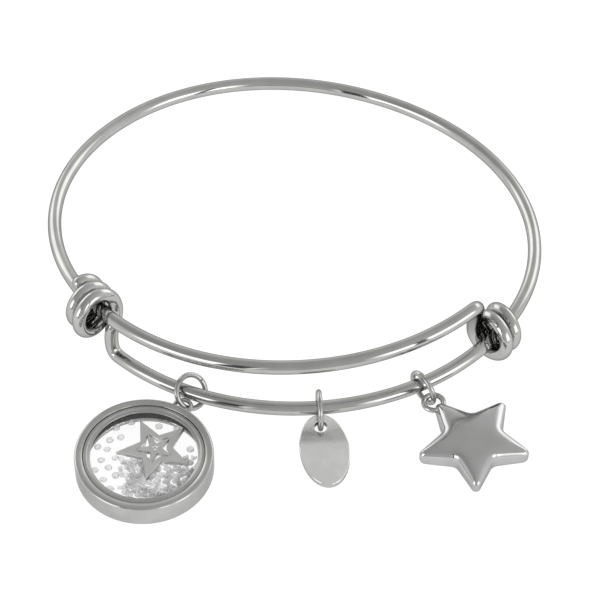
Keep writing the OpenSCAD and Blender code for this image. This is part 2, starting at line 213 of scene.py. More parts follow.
# Metals, with streaks along the grain, smudges, fine wear and a painted shade tone for marked points
def steelMaterial(name, look):
    material = bpy.data.materials.new(name)
    s = Shader(material)
    grain = s.add("ShaderNodeAttribute", dict(attribute_name="grain"), {}, "Vector")
    place = s.add("ShaderNodeTexCoord", {}, {}, "Object")
    stretched = s.add("ShaderNodeMapping", {}, {"Vector": grain, "Scale": look["streakScale"]})
    streaks = s.add("ShaderNodeTexNoise", {},
                    {"Vector": stretched, "Scale": 1, "Detail": 3, "Roughness": 0.6})
    smudges = s.add("ShaderNodeTexNoise", {}, {"Vector": place, "Scale": look["smudgeScale"], "Detail": 4})
    fine = s.add("ShaderNodeTexNoise", {}, {"Vector": place, "Scale": look["fineScale"], "Detail": 2})
    rough = look["roughness"] + look["streakRough"] * (streaks - 0.5)
    rough = rough + look["smudgeRough"] * (smudges - 0.5)
    # A Mix node's colours are its inputs 6 and 7 and its output 2
    tone = s.add("ShaderNodeMix", dict(data_type="RGBA"),
                 {"Factor": smudges.ramp(0.3, 0.7), 6: (*look["dark"], 1), 7: (*look["light"], 1)}, 2)
    # Marked points turn to the metal's inner tone, which is painted shade
    paintedShade = s.add("ShaderNodeAttribute", dict(attribute_name="paintedShade"), {}, "Fac")
    tone = s.add("ShaderNodeMix", dict(data_type="RGBA"),
                 {"Factor": paintedShade, 6: tone, 7: (*look["inner"], 1)}, 2)
    height = streaks * look["streakDepth"] + fine * look["fineDepth"]
    bump = s.add("ShaderNodeBump", {}, {"Height": height, "Strength": look["bump"], "Distance": 0.1 * mm})
    shader = s.node("ShaderNodeBsdfPrincipled", {}, {
        "Base Color": tone, "Metallic": 1, "Roughness": rough, "Normal": bump,
        "Specular Tint": (*look["rimTint"], 1)})
    s.node("ShaderNodeOutputMaterial", {}, {"Surface": Signal(s, shader.outputs[0])})
    return material


# Each metal's inner tone is the colour of its painted shade
metals = {
    "wire": dict(dark=(0.41, 0.41, 0.40), light=(0.46, 0.46, 0.45), inner=(0.1, 0.1, 0.1),
                 rimTint=(0.35, 0.35, 0.35), roughness=0.07, streakRough=0.04, smudgeRough=0.04,
                 streakScale=(300, 4000, 4000), smudgeScale=260, fineScale=9000, streakDepth=0.5,
                 fineDepth=0.15, bump=0.03),
    "ring": dict(dark=(0.38, 0.38, 0.37), light=(0.43, 0.43, 0.42), inner=(0.1, 0.1, 0.1),
                 rimTint=(0.55, 0.55, 0.55), roughness=0.24, streakRough=0.06, smudgeRough=0.08,
                 streakScale=(400, 5000, 5000), smudgeScale=500, fineScale=9000, streakDepth=0.5,
                 fineDepth=0.3, bump=0.14),
    "turned": dict(dark=(0.43, 0.43, 0.42), light=(0.48, 0.48, 0.47), inner=(0.06, 0.06, 0.06),
                   rimTint=(0.6, 0.6, 0.6), roughness=0.20, streakRough=0.05, smudgeRough=0.08,
                   streakScale=(150, 6000, 6000), smudgeScale=300, fineScale=9000, streakDepth=0.5,
                   fineDepth=0.2, bump=0.12),
    "puffed": dict(dark=(0.44, 0.44, 0.44), light=(0.48, 0.48, 0.48), inner=(0.1, 0.1, 0.1),
                   rimTint=(0.55, 0.55, 0.55), roughness=0.13, streakRough=0.03, smudgeRough=0.05,
                   streakScale=(900, 900, 900), smudgeScale=350, fineScale=8000, streakDepth=0.3,
                   fineDepth=0.2, bump=0.04),
    "stepped": dict(dark=(0.38, 0.38, 0.37), light=(0.42, 0.42, 0.41), inner=(0.05, 0.05, 0.05),
                    rimTint=(0.6, 0.6, 0.6), roughness=0.30, streakRough=0.06, smudgeRough=0.1,
                    streakScale=(150, 6000, 6000), smudgeScale=300, fineScale=9000, streakDepth=0.6,
                    fineDepth=0.2, bump=0.12),
    "plate": dict(dark=(0.80, 0.80, 0.79), light=(0.87, 0.87, 0.86), inner=(0.1, 0.1, 0.1),
                  rimTint=(0.55, 0.55, 0.55), roughness=0.14, streakRough=0.05, smudgeRough=0.08,
                  streakScale=(1200, 1200, 1200), smudgeScale=500, fineScale=8000, streakDepth=0.4,
                  fineDepth=0.25, bump=0.10),
    "cut": dict(dark=(0.56, 0.56, 0.55), light=(0.62, 0.62, 0.61), inner=(0.1, 0.1, 0.1),
                rimTint=(0.55, 0.55, 0.55), roughness=0.34, streakRough=0.08, smudgeRough=0.1,
                streakScale=(2500, 2500, 2500), smudgeScale=700, fineScale=9000, streakDepth=0.4,
                fineDepth=0.3, bump=0.15),
}
steels = {name: steelMaterial(name + "_steel", look) for name, look in metals.items()}
print("materials made")


# The wire
wire = dict(radius=0.9 * mm, sides=28, runStep=1.0, turnSteps=72, legSteps=36)
loop = dict(width=63.7 * mm, depth=58.9 * mm, lean=-0.52 * mm, lobe=-0.11 * mm, lobeSide=0.13 * mm,
            lowerBulge=0.1 * mm, lowerLeft=1.3 * mm, lowerRight=2.85 * mm, upperLeft=7.9 * mm,
            upperRight=12.45 * mm, ease=8)
coils = dict(leftAngle=33.5, rightAngle=34.2, leftTurns=2.25, rightTurns=2.05, gap=0.17 * mm, lean=9,
             leftRoom=1.1 * mm, rightRoom=0.8 * mm, sagOut=0.65 * mm, sagDown=0.4 * mm, leftTilt=4,
             leftTaper=0.2 * mm, rightTaper=0.15 * mm, leftLead=8.5, rightLead=10, leftTail=0.125,
             leftPull=(0.35, 0.4), rightPull=(0.3, 0.25))
leftAngle, backStart = 180 + coils["leftAngle"], -coils["rightAngle"]
overlapAngle = 360 + backStart - leftAngle


def sinDeg(a): return sin(radians(a))
def cosDeg(a): return cos(radians(a))
def mix(a, b, share): return a + (b - a) * share


# The loop is an oval with slight waves, and its lower front run bulges a little
def loopRadius(a):
    w, d = loop["width"], loop["depth"]
    bulge = 0
    if a < backStart:
        bulge = loop["lowerBulge"] * sinDeg(180 * min(1, 1 + (a - backStart) / overlapAngle))
    return (w * d / 2 / sqrt((d * cosDeg(a)) ** 2 + (w * sinDeg(a)) ** 2) + loop["lean"] * sinDeg(2 * a)
            + loop["lobe"] * sinDeg(3 * a) + loop["lobeSide"] * cosDeg(3 * a) + bulge)


def backShare(a): return (a - backStart) / (leftAngle - backStart)
def backClimb(a): return mix(loop["lowerRight"], loop["upperLeft"], backShare(a))


# The share of the back run's dip at an angle, from 0 at the coils to 1 at the very back
def backDip(a):
    low = sinDeg(mix(backStart, 180 - leftAngle, backShare(a)))
    return (sinDeg(a) - low) / (1 - low)


# The back run dips until the wire rests on the floor, tested at every fourth degree there
backDrop = min((backClimb(a) - wire["radius"]) / backDip(a) for a in range(50, 151, 4))


def bentHeight(a):
    if a < backStart:
        return mix(loop["lowerLeft"], loop["lowerRight"], (a - backStart) / overlapAngle + 1)
    if a > leftAngle:
        return mix(loop["upperLeft"], loop["upperRight"], (a - leftAngle) / overlapAngle)
    return backClimb(a) - backDrop * backDip(a)


# The height of the run is a mean over a few degrees, which eases its bends
def runPoint(a):
    height = sum(bentHeight(a + k * loop["ease"] / 2) for k in range(-2, 3)) / 5
    return Vector((loopRadius(a) * cosDeg(a), loopRadius(a) * sinDeg(a), height))


def runWay(a): return (runPoint(a + 1) - runPoint(a - 1)).normalized()
def inward(a): return up.cross(runWay(a)).normalized()


wireRadius = wire["radius"]
turnPitch = 2 * wireRadius + coils["gap"]
leftRunWay = runWay(leftAngle)
leftWay = (leftRunWay + tan(radians(coils["leftTilt"])) * leftRunWay.cross(inward(leftAngle))).normalized()
leftIn = up.cross(leftWay).normalized()
leftSag = -coils["sagOut"] * inward(leftAngle) - Vector((0, 0, coils["sagDown"]))
leftMiddle = runPoint(leftAngle) + leftSag
rightMiddle, rightWay, rightIn = runPoint(backStart), runWay(backStart), inward(backStart)


# Where the wire is beside a coil's middle after u turns
def coilPoint(u, radius, way, side, sense):
    across = cosDeg(coils["lean"]) * side - sense * sinDeg(coils["lean"]) * way
    return radius * (cosDeg(360 * u) * across + sense * sinDeg(360 * u) * way.cross(side))


def leftTurn(u):
    taper = coils["leftTaper"] * u
    r = 2 * wireRadius + coils["leftRoom"] - taper
    return (leftMiddle - taper * leftSag.normalized() + turnPitch * (coils["leftTurns"] / 2 - u) * leftWay
            + coilPoint(u, r, leftWay, leftIn, 1))


def rightTurn(u):
    r = 2 * wireRadius + coils["rightRoom"] - coils["rightTaper"] * u
    middle = Vector((rightMiddle[0], rightMiddle[1], r + wireRadius))
    along = turnPitch * (coils["rightTurns"] / 2 - u) * rightWay
    return middle - along + coilPoint(u, r, rightWay, rightIn, -1)


# The bend between a coil and the run, without its ends
def legPoints(start, startWay, end, endWay, pull):
    h = abs(start[2] - end[2])
    a, b, c, d = start, start + pull[0] * h * startWay, end - pull[1] * h * endWay, end
    steps = [i / wire["legSteps"] for i in range(1, wire["legSteps"])]
    return [(1 - t) ** 3 * a + 3 * t * (1 - t) ** 2 * b + 3 * t * t * (1 - t) * c + t ** 3 * d
            for t in steps]


def wirePath():
    runStart, runEnd = leftAngle - 360 + coils["leftLead"], 360 + backStart - coils["rightLead"]
    steps = round((runEnd - runStart) / wire["runStep"])
    run = [runPoint(mix(runStart, runEnd, i / steps)) for i in range(steps + 1)]
    leftEnd = leftTurn(-coils["leftTail"])
    leftEndWay = (leftEnd - leftTurn(0.01 - coils["leftTail"])).normalized()
    rightEndWay = (rightTurn(0.01) - rightTurn(0)).normalized()
    leftCount = round((coils["leftTurns"] + coils["leftTail"]) * wire["turnSteps"])
    rightCount = round(coils["rightTurns"] * wire["turnSteps"])
    leftCoil = [leftTurn(mix(coils["leftTurns"], -coils["leftTail"], i / leftCount))
                for i in range(leftCount + 1)]
    rightCoil = [rightTurn(mix(0, coils["rightTurns"], i / rightCount)) for i in range(rightCount + 1)]
    leftLeg = legPoints(leftEnd, leftEndWay, run[0], runWay(runStart), coils["leftPull"])
    rightLeg = legPoints(rightTurn(0), -rightEndWay, run[-1], -runWay(runEnd), coils["rightPull"])
    return leftCoil + leftLeg + run + rightLeg[::-1] + rightCoil


makePiece("bangle_wire_round", tubeMesh(wirePath(), wireRadius, wire["sides"]), steels["wire"],
          ["bangle_wire"])
print("wire made")


# The jump rings hang on the lower run, their middles a little beside the wire. Angles are in degrees
jumpRings = {
    "locket": dict(room=1.8 * mm, angle=244.6, lean=49.3, turn=-41.1, beside=(-0.392, 0.144), slitAt=100),
    "tag": dict(room=2.2 * mm, angle=276.3, lean=90, turn=4, fit=0.08 * mm, slitAt=150),
    "star": dict(room=1.8 * mm, angle=302.6, lean=87.7, turn=35.7, beside=(0, -0.8), slitAt=170),
}
jumpWire, slitAngle, floorGap = 0.7 * mm, 3, 0.01 * mm
ringSteps, ringSides = 120, 24


def ringPath(radius, turn, start, end, steps):
    angles = [mix(start, end, i / steps) for i in range(steps + 1)]
    return [turn @ Vector((radius * cosDeg(a), radius * sinDeg(a), 0)) for a in angles]


for name, ring in jumpRings.items():
    aim = Matrix.Rotation(radians(ring["turn"]), 3, "Z") @ Matrix.Rotation(radians(ring["lean"]), 3, "Y")
    radius = (wire["radius"] * 2 + ring["room"] + jumpWire) / 2
    first = ring["slitAt"] + slitAngle / 2
    path = ringPath(radius, aim, first, first + 360 - slitAngle, ringSteps)
    middle = runPoint(ring["angle"] - 360)
    rise = radius * sinDeg(ring["lean"]) + jumpWire / 2 + floorGap - middle[2]
    if "beside" in ring:
        middle += ring["room"] / 2 * Vector((*ring["beside"], 0))
    else:
        middle[1] -= sqrt((ring["room"] / 2 - ring["fit"]) ** 2 - rise ** 2)
    middle[2] += rise
    mesh = tubeMesh([middle + p for p in path], jumpWire / 2, ringSides, domed=False)
    makePiece(name + "_jump_ring_round", mesh, steels["ring"], [name + "_jump_ring"])
print("jump rings made")


# The flat loop that a charm hangs by
def hangingLoop(charmMiddle, charm, angle):
    aim = Vector((cosDeg(angle), sinDeg(angle), 0))
    middle = charmMiddle + charm["loopOut"] * aim + Vector((0, 0, charm["loopHeight"]))
    path = ringPath(charm["loopRadius"], Matrix.Identity(3), 0, 360, charm["loopSteps"])[:-1]
    return tubeMesh([middle + p for p in path], charm["loopWire"] / 2, charm["loopSides"], closed=True)


# The locket
locket = dict(radius=8.7 * mm, height=3.2 * mm, rim=1.05 * mm, bezel=0.95 * mm, lip=0.4 * mm,
              glass=0.38 * mm, sunk=0.5 * mm, fit=0.05 * mm, edge=0.35 * mm, backEdge=0.15 * mm,
              wall=0.28 * mm, chamfer=0.06 * mm, glassLap=0.07 * mm, loopRadius=1.075 * mm,
              loopWire=0.55 * mm, loopAngle=62.5, loopOut=9.78 * mm, loopHeight=1.5 * mm, loopSteps=72,
              loopSides=20, segments=192, lowerSteps=8, upperSteps=10)
low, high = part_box("locket_front_glass")
locketMiddle = Vector(((low[0] + high[0]) / 2, (low[1] + high[1]) / 2, 0))
bore = locket["radius"] - locket["rim"]
window = bore - locket["bezel"]
backTop = locket["lip"] + locket["fit"] + locket["glass"]
frontTop = locket["height"] - locket["sunk"]
frontBottom = frontTop - locket["glass"]
cavity = bore - locket["fit"] - locket["wall"]


def arc(middle, radius, start, end, steps):
    angles = [mix(start, end, i / steps) for i in range(steps + 1)]
    return [(middle[0] + radius * cosDeg(a), middle[1] + radius * sinDeg(a)) for a in angles]


def locketCase():
    edge, outer, h, chamfer = locket["edge"], locket["radius"], locket["height"], locket["chamfer"]
    outline = [(bore - locket["backEdge"], 0)]
    outline += arc((outer - edge, edge), edge, -90, 0, locket["lowerSteps"])
    outline += arc((outer - edge, h - edge), edge, 0, 90, locket["upperSteps"])
    outline += [(bore + chamfer, h), (bore, h - chamfer), (bore, locket["lip"]),
                (bore - locket["backEdge"], locket["lip"])]
    body = turnedMesh(outline, locketMiddle, locket["segments"])
    return joinMeshes(body, hangingLoop(locketMiddle, locket, locket["loopAngle"]))


# The bezel's stepped top, as the share of the way in to the window and the depth under the case's top
bezelSteps = [(0, 0.22 * mm), (0.12, 0.1 * mm), (0.45, 0.1 * mm), (0.55, 0.2 * mm)]
bezelSize = dict(overGlass=0.2 * mm, ease=0.025 * mm, lap=0.12 * mm, soft=0.06 * mm, softSteps=3)


def locketBezel():
    outer, floor = bore - locket["fit"], backTop + locket["fit"]
    seatTop, seatBottom = frontTop + bezelSize["ease"], frontBottom - bezelSize["ease"]
    seat = cavity + bezelSize["lap"]
    outline = [(cavity, floor), (outer, floor)]
    outline += [(mix(outer, window, share), locket["height"] - depth) for share, depth in bezelSteps]
    outline += [(window, frontTop + bezelSize["overGlass"]), (window, seatTop), (seat, seatTop),
                (seat, seatBottom), (cavity, seatBottom)]
    outline = softened(outline, bezelSize["soft"], bezelSize["softSteps"])
    return turnedMesh(outline, locketMiddle, locket["segments"])


makePiece("locket_case_turned", locketCase(), steels["turned"], ["locket_case"])
bezel = makePiece("locket_bezel_turned", locketBezel(), steels["stepped"],
                  ["locket_bezel"])


# Give each point its share of the metal's inner tone, which is painted shade
def paintShade(piece, shares):
    paintedShade = piece.data.attributes.new("paintedShade", "FLOAT", "POINT")
    paintedShade.data.foreach_set("value", shares)


# The bezel's inner wall carries painted shade, standing in for its dark reflection, where the photo shows
# it through the glass, at the sides and the back
innerWall = dict(beyond=0.1 * mm, within=0.2 * mm, front=-1.5 * mm)


def isInnerWall(place):
    p = place - locketMiddle
    isWall = cavity + innerWall["beyond"] > p.xy.length > window + innerWall["within"]
    return isWall and p.y > innerWall["front"] and p.z < frontTop


# Every inner wall point takes the painted shade in full
paintShade(bezel, [float(isInnerWall(v.co)) for v in bezel.data.vertices])


def paneMaterial(name, look):
    material = bpy.data.materials.new(name)
    s = Shader(material)
    place = s.add("ShaderNodeTexCoord", {}, {}, "Object")
    haze = s.add("ShaderNodeTexNoise", {}, {"Vector": place, "Scale": look["hazeScale"], "Detail": 3})
    edge = s.add("ShaderNodeFresnel", {}, {"IOR": look["ior"]})
    gloss = s.add("ShaderNodeBsdfPrincipled", {}, {
        "Base Color": (*look["tone"], 1), "Metallic": 1,
        "Roughness": look["roughness"] + look["haze"] * haze})
    through = s.add("ShaderNodeBsdfTransparent", {}, {"Color": (*look["through"], 1)})
    # Only the outer face of each surface shines, as the pane is thin and nothing bends in it
    inside = s.add("ShaderNodeNewGeometry", {}, {}, "Backfacing")
    shine = edge * look["shine"] * (1 - inside)
    mixed = s.node("ShaderNodeMixShader", {}, {0: shine, 1: through, 2: gloss})
    s.node("ShaderNodeOutputMaterial", {}, {"Surface": Signal(s, mixed.outputs[0])})
    return material


def stoneMaterial(name, look):
    material = bpy.data.materials.new(name)
    s = Shader(material)
    place = s.add("ShaderNodeTexCoord", {}, {}, "Object")
    haze = s.add("ShaderNodeTexNoise", {}, {"Vector": place, "Scale": look["hazeScale"], "Detail": 3})
    shader = s.node("ShaderNodeBsdfPrincipled", {}, {
        "Base Color": (*look["tone"], 1), "Metallic": 0, "IOR": look["ior"],
        "Roughness": look["roughness"] + look["haze"] * haze, "Alpha": look["alpha"],
        "Transmission Weight": look["transmission"]})
    s.node("ShaderNodeOutputMaterial", {}, {"Surface": Signal(s, shader.outputs[0])})
    return material


paneGlass = paneMaterial("pane_glass", dict(tone=(0.95, 0.95, 0.95), through=(1, 1, 1), ior=1.45,
                                            roughness=0.02, haze=0.02, hazeScale=400, shine=0.5))
cutCrystal = stoneMaterial("cut_crystal", dict(tone=(0.9, 0.9, 0.91), ior=1.5, roughness=0.03, haze=0.06,
                                               hazeScale=2500, alpha=0.64, transmission=0.45))


def pane(bottom, radius):
    t, soft, eye, segments = locket["glass"], 0.05 * mm, 0.05 * mm, 96
    outline = [(eye, bottom), (radius - soft, bottom), (radius, bottom + soft),
               (radius, bottom + t - soft), (radius - soft, bottom + t), (eye, bottom + t)]
    verts, faces, grain = turnedMesh(outline, locketMiddle, segments)
    # Close the small opening that turning leaves in the middle
    count = len(outline)
    faces = [f for i, f in enumerate(faces) if i % count != count - 1]
    faces.append(tuple(reversed(range(0, segments * count, count))))
    faces.append(tuple(range(count - 1, segments * count, count)))
    return verts, faces, grain


makePiece("locket_front_pane", pane(frontBottom, cavity + locket["glassLap"]), paneGlass,
          ["locket_front_glass"])
makePiece("locket_back_pane", pane(locket["lip"] + locket["fit"] / 2, bore - locket["fit"]), paneGlass,
          ["locket_back_glass"])
print("locket made")


# The pierced star in the locket
smallStar = dict(tip=4.85 * mm, bar=0.6 * mm, thick=0.65 * mm, at=(1.3 * mm, 1.5 * mm), turn=24.5,
                 top=frontBottom - 0.05 * mm, soft=0.06 * mm, innerNotch=0.8 * mm, hole=0.3 * mm,
                 notchShare=1.15, mitre=1.18, opening=0.475, halfNeck=0.12 * mm, mitreLimit=0.06 * mm)


def starPoints(tip, notch):
    return [Vector((-r * sinDeg(36 * i), r * cosDeg(36 * i))) for i, r in enumerate([tip, notch] * 5)]


# A closed loop drawn in toward its left by one width, each corner moved no more than a limit
def inset(loop, width, limit):
    made = []
    for i, b in enumerate(loop):
        u, v = (b - loop[i - 1]).normalized(), (loop[(i + 1) % len(loop)] - b).normalized()
        aside = Vector((-u[1] - v[1], u[0] + v[0])).normalized()
        reach = width / abs(aside.dot(Vector((-u[1], u[0]))))
        made.append(b + min(reach, limit) * aside)
    return made


def piercedStar():
    tip, soft = smallStar["tip"], smallStar["soft"]
    notch = tip * sinDeg(18) / sinDeg(54) * smallStar["notchShare"]
    reach, neck = tip * smallStar["opening"], smallStar["halfNeck"]
    side = Vector((reach * sinDeg(36) - neck * cosDeg(36), reach * cosDeg(36) + neck * sinDeg(36)))
    opening = [(0, smallStar["innerNotch"]), side, (0, notch - smallStar["mitre"] * smallStar["bar"]),
               (-side[0], side[1])]
    holes = [[Matrix.Rotation(radians(72 * i + 36), 2) @ Vector(p) for p in opening] for i in range(5)]
    holes.append([smallStar["hole"] * Vector((cosDeg(72 * i), sinDeg(72 * i))) for i in range(5)])
    # Every loop keeps the metal on its left: the outline turns one way and the openings the other
    loops = [starPoints(tip, notch)] + [hole[::-1] for hole in holes]
    # Only the narrow corners of the openings need a limit
    limits = [inf] + [smallStar["mitreLimit"]] * len(holes)
    drawnIn = [inset(loop, soft, limit) for loop, limit in zip(loops, limits)]
    half = smallStar["thick"] / 2
    verts, faces = [], []
    for loop, inner in zip(loops, drawnIn):
        first, n = len(verts), len(loop)
        for outline, z in ((inner, -half), (loop, soft - half), (loop, half - soft), (inner, half)):
            verts += [Vector((*p, z)) for p in outline]
        faces += [(first + g * n + k, first + g * n + (k + 1) % n, first + (g + 1) * n + (k + 1) % n,
                   first + (g + 1) * n + k) for g in range(3) for k in range(n)]
    flat = [Vector((*p, half)) for loop in drawnIn for p in loop]
    starts = [4 * sum(len(other) for other in loops[:i]) for i in range(len(loops))]
    upper = [start + 3 * len(loop) + k for start, loop in zip(starts, loops) for k in range(len(loop))]
    lower = [start + k for start, loop in zip(starts, loops) for k in range(len(loop))]
    for corners in tessellate_polygon([[Vector((*p, 0)) for p in loop] for loop in drawnIn]):
        a, b, c = (flat[i] for i in corners)
        i, j, k = corners if (b - a).cross(c - a)[2] > 0 else corners[::-1]
        faces += [(upper[i], upper[j], upper[k]), (lower[k], lower[j], lower[i])]
    middle = locketMiddle + Vector((*smallStar["at"], smallStar["top"] - half))
    turn = Matrix.Rotation(radians(smallStar["turn"]), 3, "Z")
    return [middle + turn @ v for v in verts], faces, [tuple(v) for v in verts]


piece = makePiece("locket_star_pierced", piercedStar(), steels["cut"], ["locket_star"])
piece.data.polygons.foreach_set("use_smooth", [False] * len(piece.data.polygons))
print("locket star made")


# The stones in the locket. Those under the pierced star lie lower and are smaller than the loose ones
stones = dict(width=1.0 * mm, height=0.62 * mm, gap=0.14 * mm, heapLeft=-2.6 * mm, heapBack=0.6 * mm,
              floor=backTop + 0.05 * mm, table=0.56, crown=0.35, girdleHalf=0.015 * mm, sideRoom=0.08 * mm,
              lift=0.02 * mm, tilt=14, size=0.98, looseCount=250, scatter=0.6, spill=0.1 * mm,
              underShare=0.75, underRise=(0.02, 0.12), underSize=(0.55, 0.75), looseRise=(0.2, 0.6),
              looseSize=(0.6, 0.82))
# The stones beside the heap, as (x, y) shares of the room's radius
singleStones = [(-0.56, 0.8), (-0.28, 0.93), (0.24, 0.84), (0.58, 0.78), (-0.46, 0.58), (-0.88, 0.36),
                (-0.7, 0.3), (-0.8, 0.05), (-0.66, -0.12), (-0.91, -0.18), (-0.54, 0.1), (-0.74, -0.4),
                (-0.52, -0.3), (-0.6, -0.6), (0.84, 0.3), (-0.66, 0.52)]


# A round stone with a table, crown facets, a girdle and pavilion facets
def cutStone(width, height, sides=8):
    n, r, girdle, half = 2 * sides, width / 2, height * (1 - stones["crown"]), stones["girdleHalf"]

    def level(radius, z, angles):
        return [Vector((radius * cosDeg(a), radius * sinDeg(a), z)) for a in angles]

    around = [360 * k / n for k in range(n)]
    verts = [Vector((0, 0, 0))] + level(r, girdle - half, around) + level(r, girdle + half, around)
    verts += level(r * stones["table"], height, [360 * (k + 0.5) / sides for k in range(sides)])
    faces = [(0, 1 + (k + 1) % n, 1 + k) for k in range(n)]
    faces += [(1 + k, 1 + (k + 1) % n, 1 + n + (k + 1) % n, 1 + n + k) for k in range(n)]
    table = 1 + 2 * n
    for k in range(sides):
        a, b, c = 1 + n + 2 * k, 1 + n + 2 * k + 1, 1 + n + (2 * k + 2) % n
        faces += [(a, b, table + k), (b, c, table + k), (c, table + (k + 1) % sides, table + k)]
    faces.append(tuple(range(table, table + sides)))
    return verts, faces


def stoneField():
    rand = random.Random(11)
    pitch = stones["width"] + stones["gap"]
    reach = cavity - stones["width"] / 2 - stones["sideRoom"]
    places = [(x * reach, y * reach) for x, y in singleStones]
    rows = ceil(reach / pitch) + 1
    heap = []
    for row in range(-rows, rows + 1):
        for col in range(-rows, rows + 1):
            x, y = (col + (0.5 if row % 2 else 0)) * pitch, row * pitch * sinDeg(60)
            if sqrt(x * x + y * y) < reach and x > stones["heapLeft"] and y < stones["heapBack"]:
                heap.append((x, y))
    parts = []
    shape = cutStone(stones["width"], stones["height"])

    def put(x, y, z, tilt, size):
        turn = (Matrix.Rotation(rand.uniform(0, 2 * pi), 3, "Z") @ Matrix.Rotation(radians(tilt), 3, "X")
                @ Matrix.Rotation(rand.uniform(0, 2 * pi), 3, "Z"))
        middle = Vector((0, 0, stones["height"] / 2))
        at = locketMiddle + Vector((x, y, z))
        verts = [at + turn @ ((v - middle) * size) for v in shape[0]]
        parts.append((verts, shape[1], [(0, 0, 0)] * len(verts)))

    level = stones["floor"] + stones["height"] / 2
    for x, y in places + heap:
        put(x, y, level + stones["lift"], rand.uniform(0, stones["tilt"]), stones["size"])
    scatter = stones["scatter"]
    for i in range(stones["looseCount"]):
        x, y = heap[rand.randrange(len(heap))]
        x, y = x + rand.uniform(-scatter, scatter) * pitch, y + rand.uniform(-scatter, scatter) * pitch
        starward = Vector((x, y)) - Vector(smallStar["at"])
        isUnder = starward.length < smallStar["tip"] * stones["underShare"]
        if sqrt(x * x + y * y) < reach + stones["spill"]:
            rise = rand.uniform(*stones["underRise" if isUnder else "looseRise"]) * mm
            tilt = rand.uniform(0, 180)
            put(x, y, level + rise, tilt, rand.uniform(*stones["underSize" if isUnder else "looseSize"]))
    return joinMeshes(*parts)


piece = makePiece("locket_crystals_cut", stoneField(), cutCrystal, ["locket_crystals"])
piece.data.polygons.foreach_set("use_smooth", [False] * len(piece.data.polygons))
print("stones made")


# The oval tag
# Its sides take a share of painted shade
tag = dict(length=10.35 * mm, width=6.25 * mm, thick=0.9 * mm, bevel=0.15 * mm, hole=1.6 * mm,
           holeIn=1.85 * mm, holeBevel=0.08 * mm, turn=8.5, rise=0.972 * mm, lift=0.01 * mm, segments=144,
           rings=22, sideShade=0.45, sideLimit=0.7)


def ovalTag():
    a, b = tag["width"] / 2, tag["length"] / 2
    holeMiddle = Vector((0, b - tag["holeIn"]))
    t, soft, holeSoft = tag["thick"], tag["bevel"], tag["holeBevel"]
    r, n = tag["hole"] / 2, tag["segments"]

    # Where a ray from the hole's middle meets the oval drawn in by some amount
    def ovalEdge(angle, amount):
        way = Vector((cosDeg(angle), sinDeg(angle)))
        p, q = a - amount, b - amount
        qa = (way[0] / p) ** 2 + (way[1] / q) ** 2
        qb = 2 * holeMiddle[1] * way[1] / q ** 2
        qc = (holeMiddle[1] / q) ** 2 - 1
        return (-qb + sqrt(qb * qb - 4 * qa * qc)) / (2 * qa)

    def bend(steps): return [k / steps * 90 for k in range(steps + 1)]

    levels = [("out", soft * (1 - sinDeg(f)), -t / 2 + soft * (1 - cosDeg(f))) for f in bend(5)]
    levels += [("out", soft * (1 - cosDeg(f)), t / 2 - soft * (1 - sinDeg(f))) for f in bend(5)]
    levels += [("mix", k / tag["rings"], t / 2) for k in range(1, tag["rings"])]
    levels += [("hole", holeSoft * (1 - sinDeg(f)), t / 2 - holeSoft * (1 - cosDeg(f))) for f in bend(4)]
    levels += [("hole", holeSoft * (1 - cosDeg(f)), -t / 2 + holeSoft * (1 - sinDeg(f))) for f in bend(4)]
    levels += [("mix", k / tag["rings"], -t / 2) for k in range(tag["rings"] - 1, 0, -1)]
    lean = asin((tag["rise"] - tag["lift"]) / (tag["length"] - tag["holeIn"]))
    turn = Matrix.Rotation(lean, 3, "X") @ Matrix.Rotation(radians(tag["turn"]), 3, "Z")
    low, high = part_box("oval_tag")
    local = []
    for kind, amount, z in levels:
        for s in range(n):
            angle = 360 * s / n
            if kind == "out":
                reach = ovalEdge(angle, amount)
            elif kind == "hole":
                reach = r + amount
            else:
                reach = mix(ovalEdge(angle, soft), r + holeSoft, amount)
            local.append(Vector((reach * cosDeg(angle), reach * sinDeg(angle), z)))
    turned = [turn @ p for p in local]
    # The middle of its box meets the middle of the solid's box, so it lies just where the solid does
    minimum = Vector([min(p[i] for p in turned) for i in range(3)])
    maximum = Vector([max(p[i] for p in turned) for i in range(3)])
    shift = (Vector(low) + Vector(high)) / 2 - (minimum + maximum) / 2
    count = len(levels)
    faces = [(g * n + k, g * n + (k + 1) % n, (g + 1) % count * n + (k + 1) % n, (g + 1) % count * n + k)
             for g in range(count) for k in range(n)]
    return [p + shift for p in turned], faces, [tuple(p) for p in local]


plate = makePiece("oval_tag_polished", ovalTag(), steels["plate"], ["oval_tag"])
# The tag's sides carry painted shade, darker than its polished faces, as the photo shows
normals = [v.vector for v in plate.data.vertex_normals]
paintShade(plate, [tag["sideShade"] * (abs(normal[2]) < tag["sideLimit"]) for normal in normals])
print("tag made")


# The puffed star
star = dict(tip=7.9 * mm, notch=4.0 * mm, tipRound=0.6 * mm, notchRound=1.3 * mm, edge=1.7 * mm,
            height=2.8 * mm, turn=1, loopAngle=128, loopRadius=1.25 * mm, loopWire=0.7 * mm,
            loopOut=7.6 * mm, loopHeight=1.7 * mm, loopSteps=84, loopSides=24, cornerSteps=8, sideSteps=7,
            rings=34, crownStart=0.98, shoulder=0.4 * mm, dome=0.55)
# The star's rounded edge, as shares of the outline and of the edge's height
starEdge = [(0.90, 0.0), (0.93, 0.005), (0.955, 0.035), (0.975, 0.1), (0.99, 0.22), (0.998, 0.36), (1, 0.5),
            (1, 0.7), (1, 0.86), (0.997, 0.93), (0.988, 0.99)]


def roundedCorner(a, b, c, radius, steps):
    u, v = (a - b).normalized(), (c - b).normalized()
    half = acos(u.dot(v)) / 2
    middle = b + radius / sin(half) * (u + v).normalized()
    start, end = b + radius / tan(half) * u - middle, b + radius / tan(half) * v - middle
    first = atan2(start[1], start[0])
    swing = atan2(start[0] * end[1] - start[1] * end[0], start.dot(end))
    return [middle + radius * Vector((cos(first + swing * k / steps), sin(first + swing * k / steps)))
            for k in range(steps + 1)]


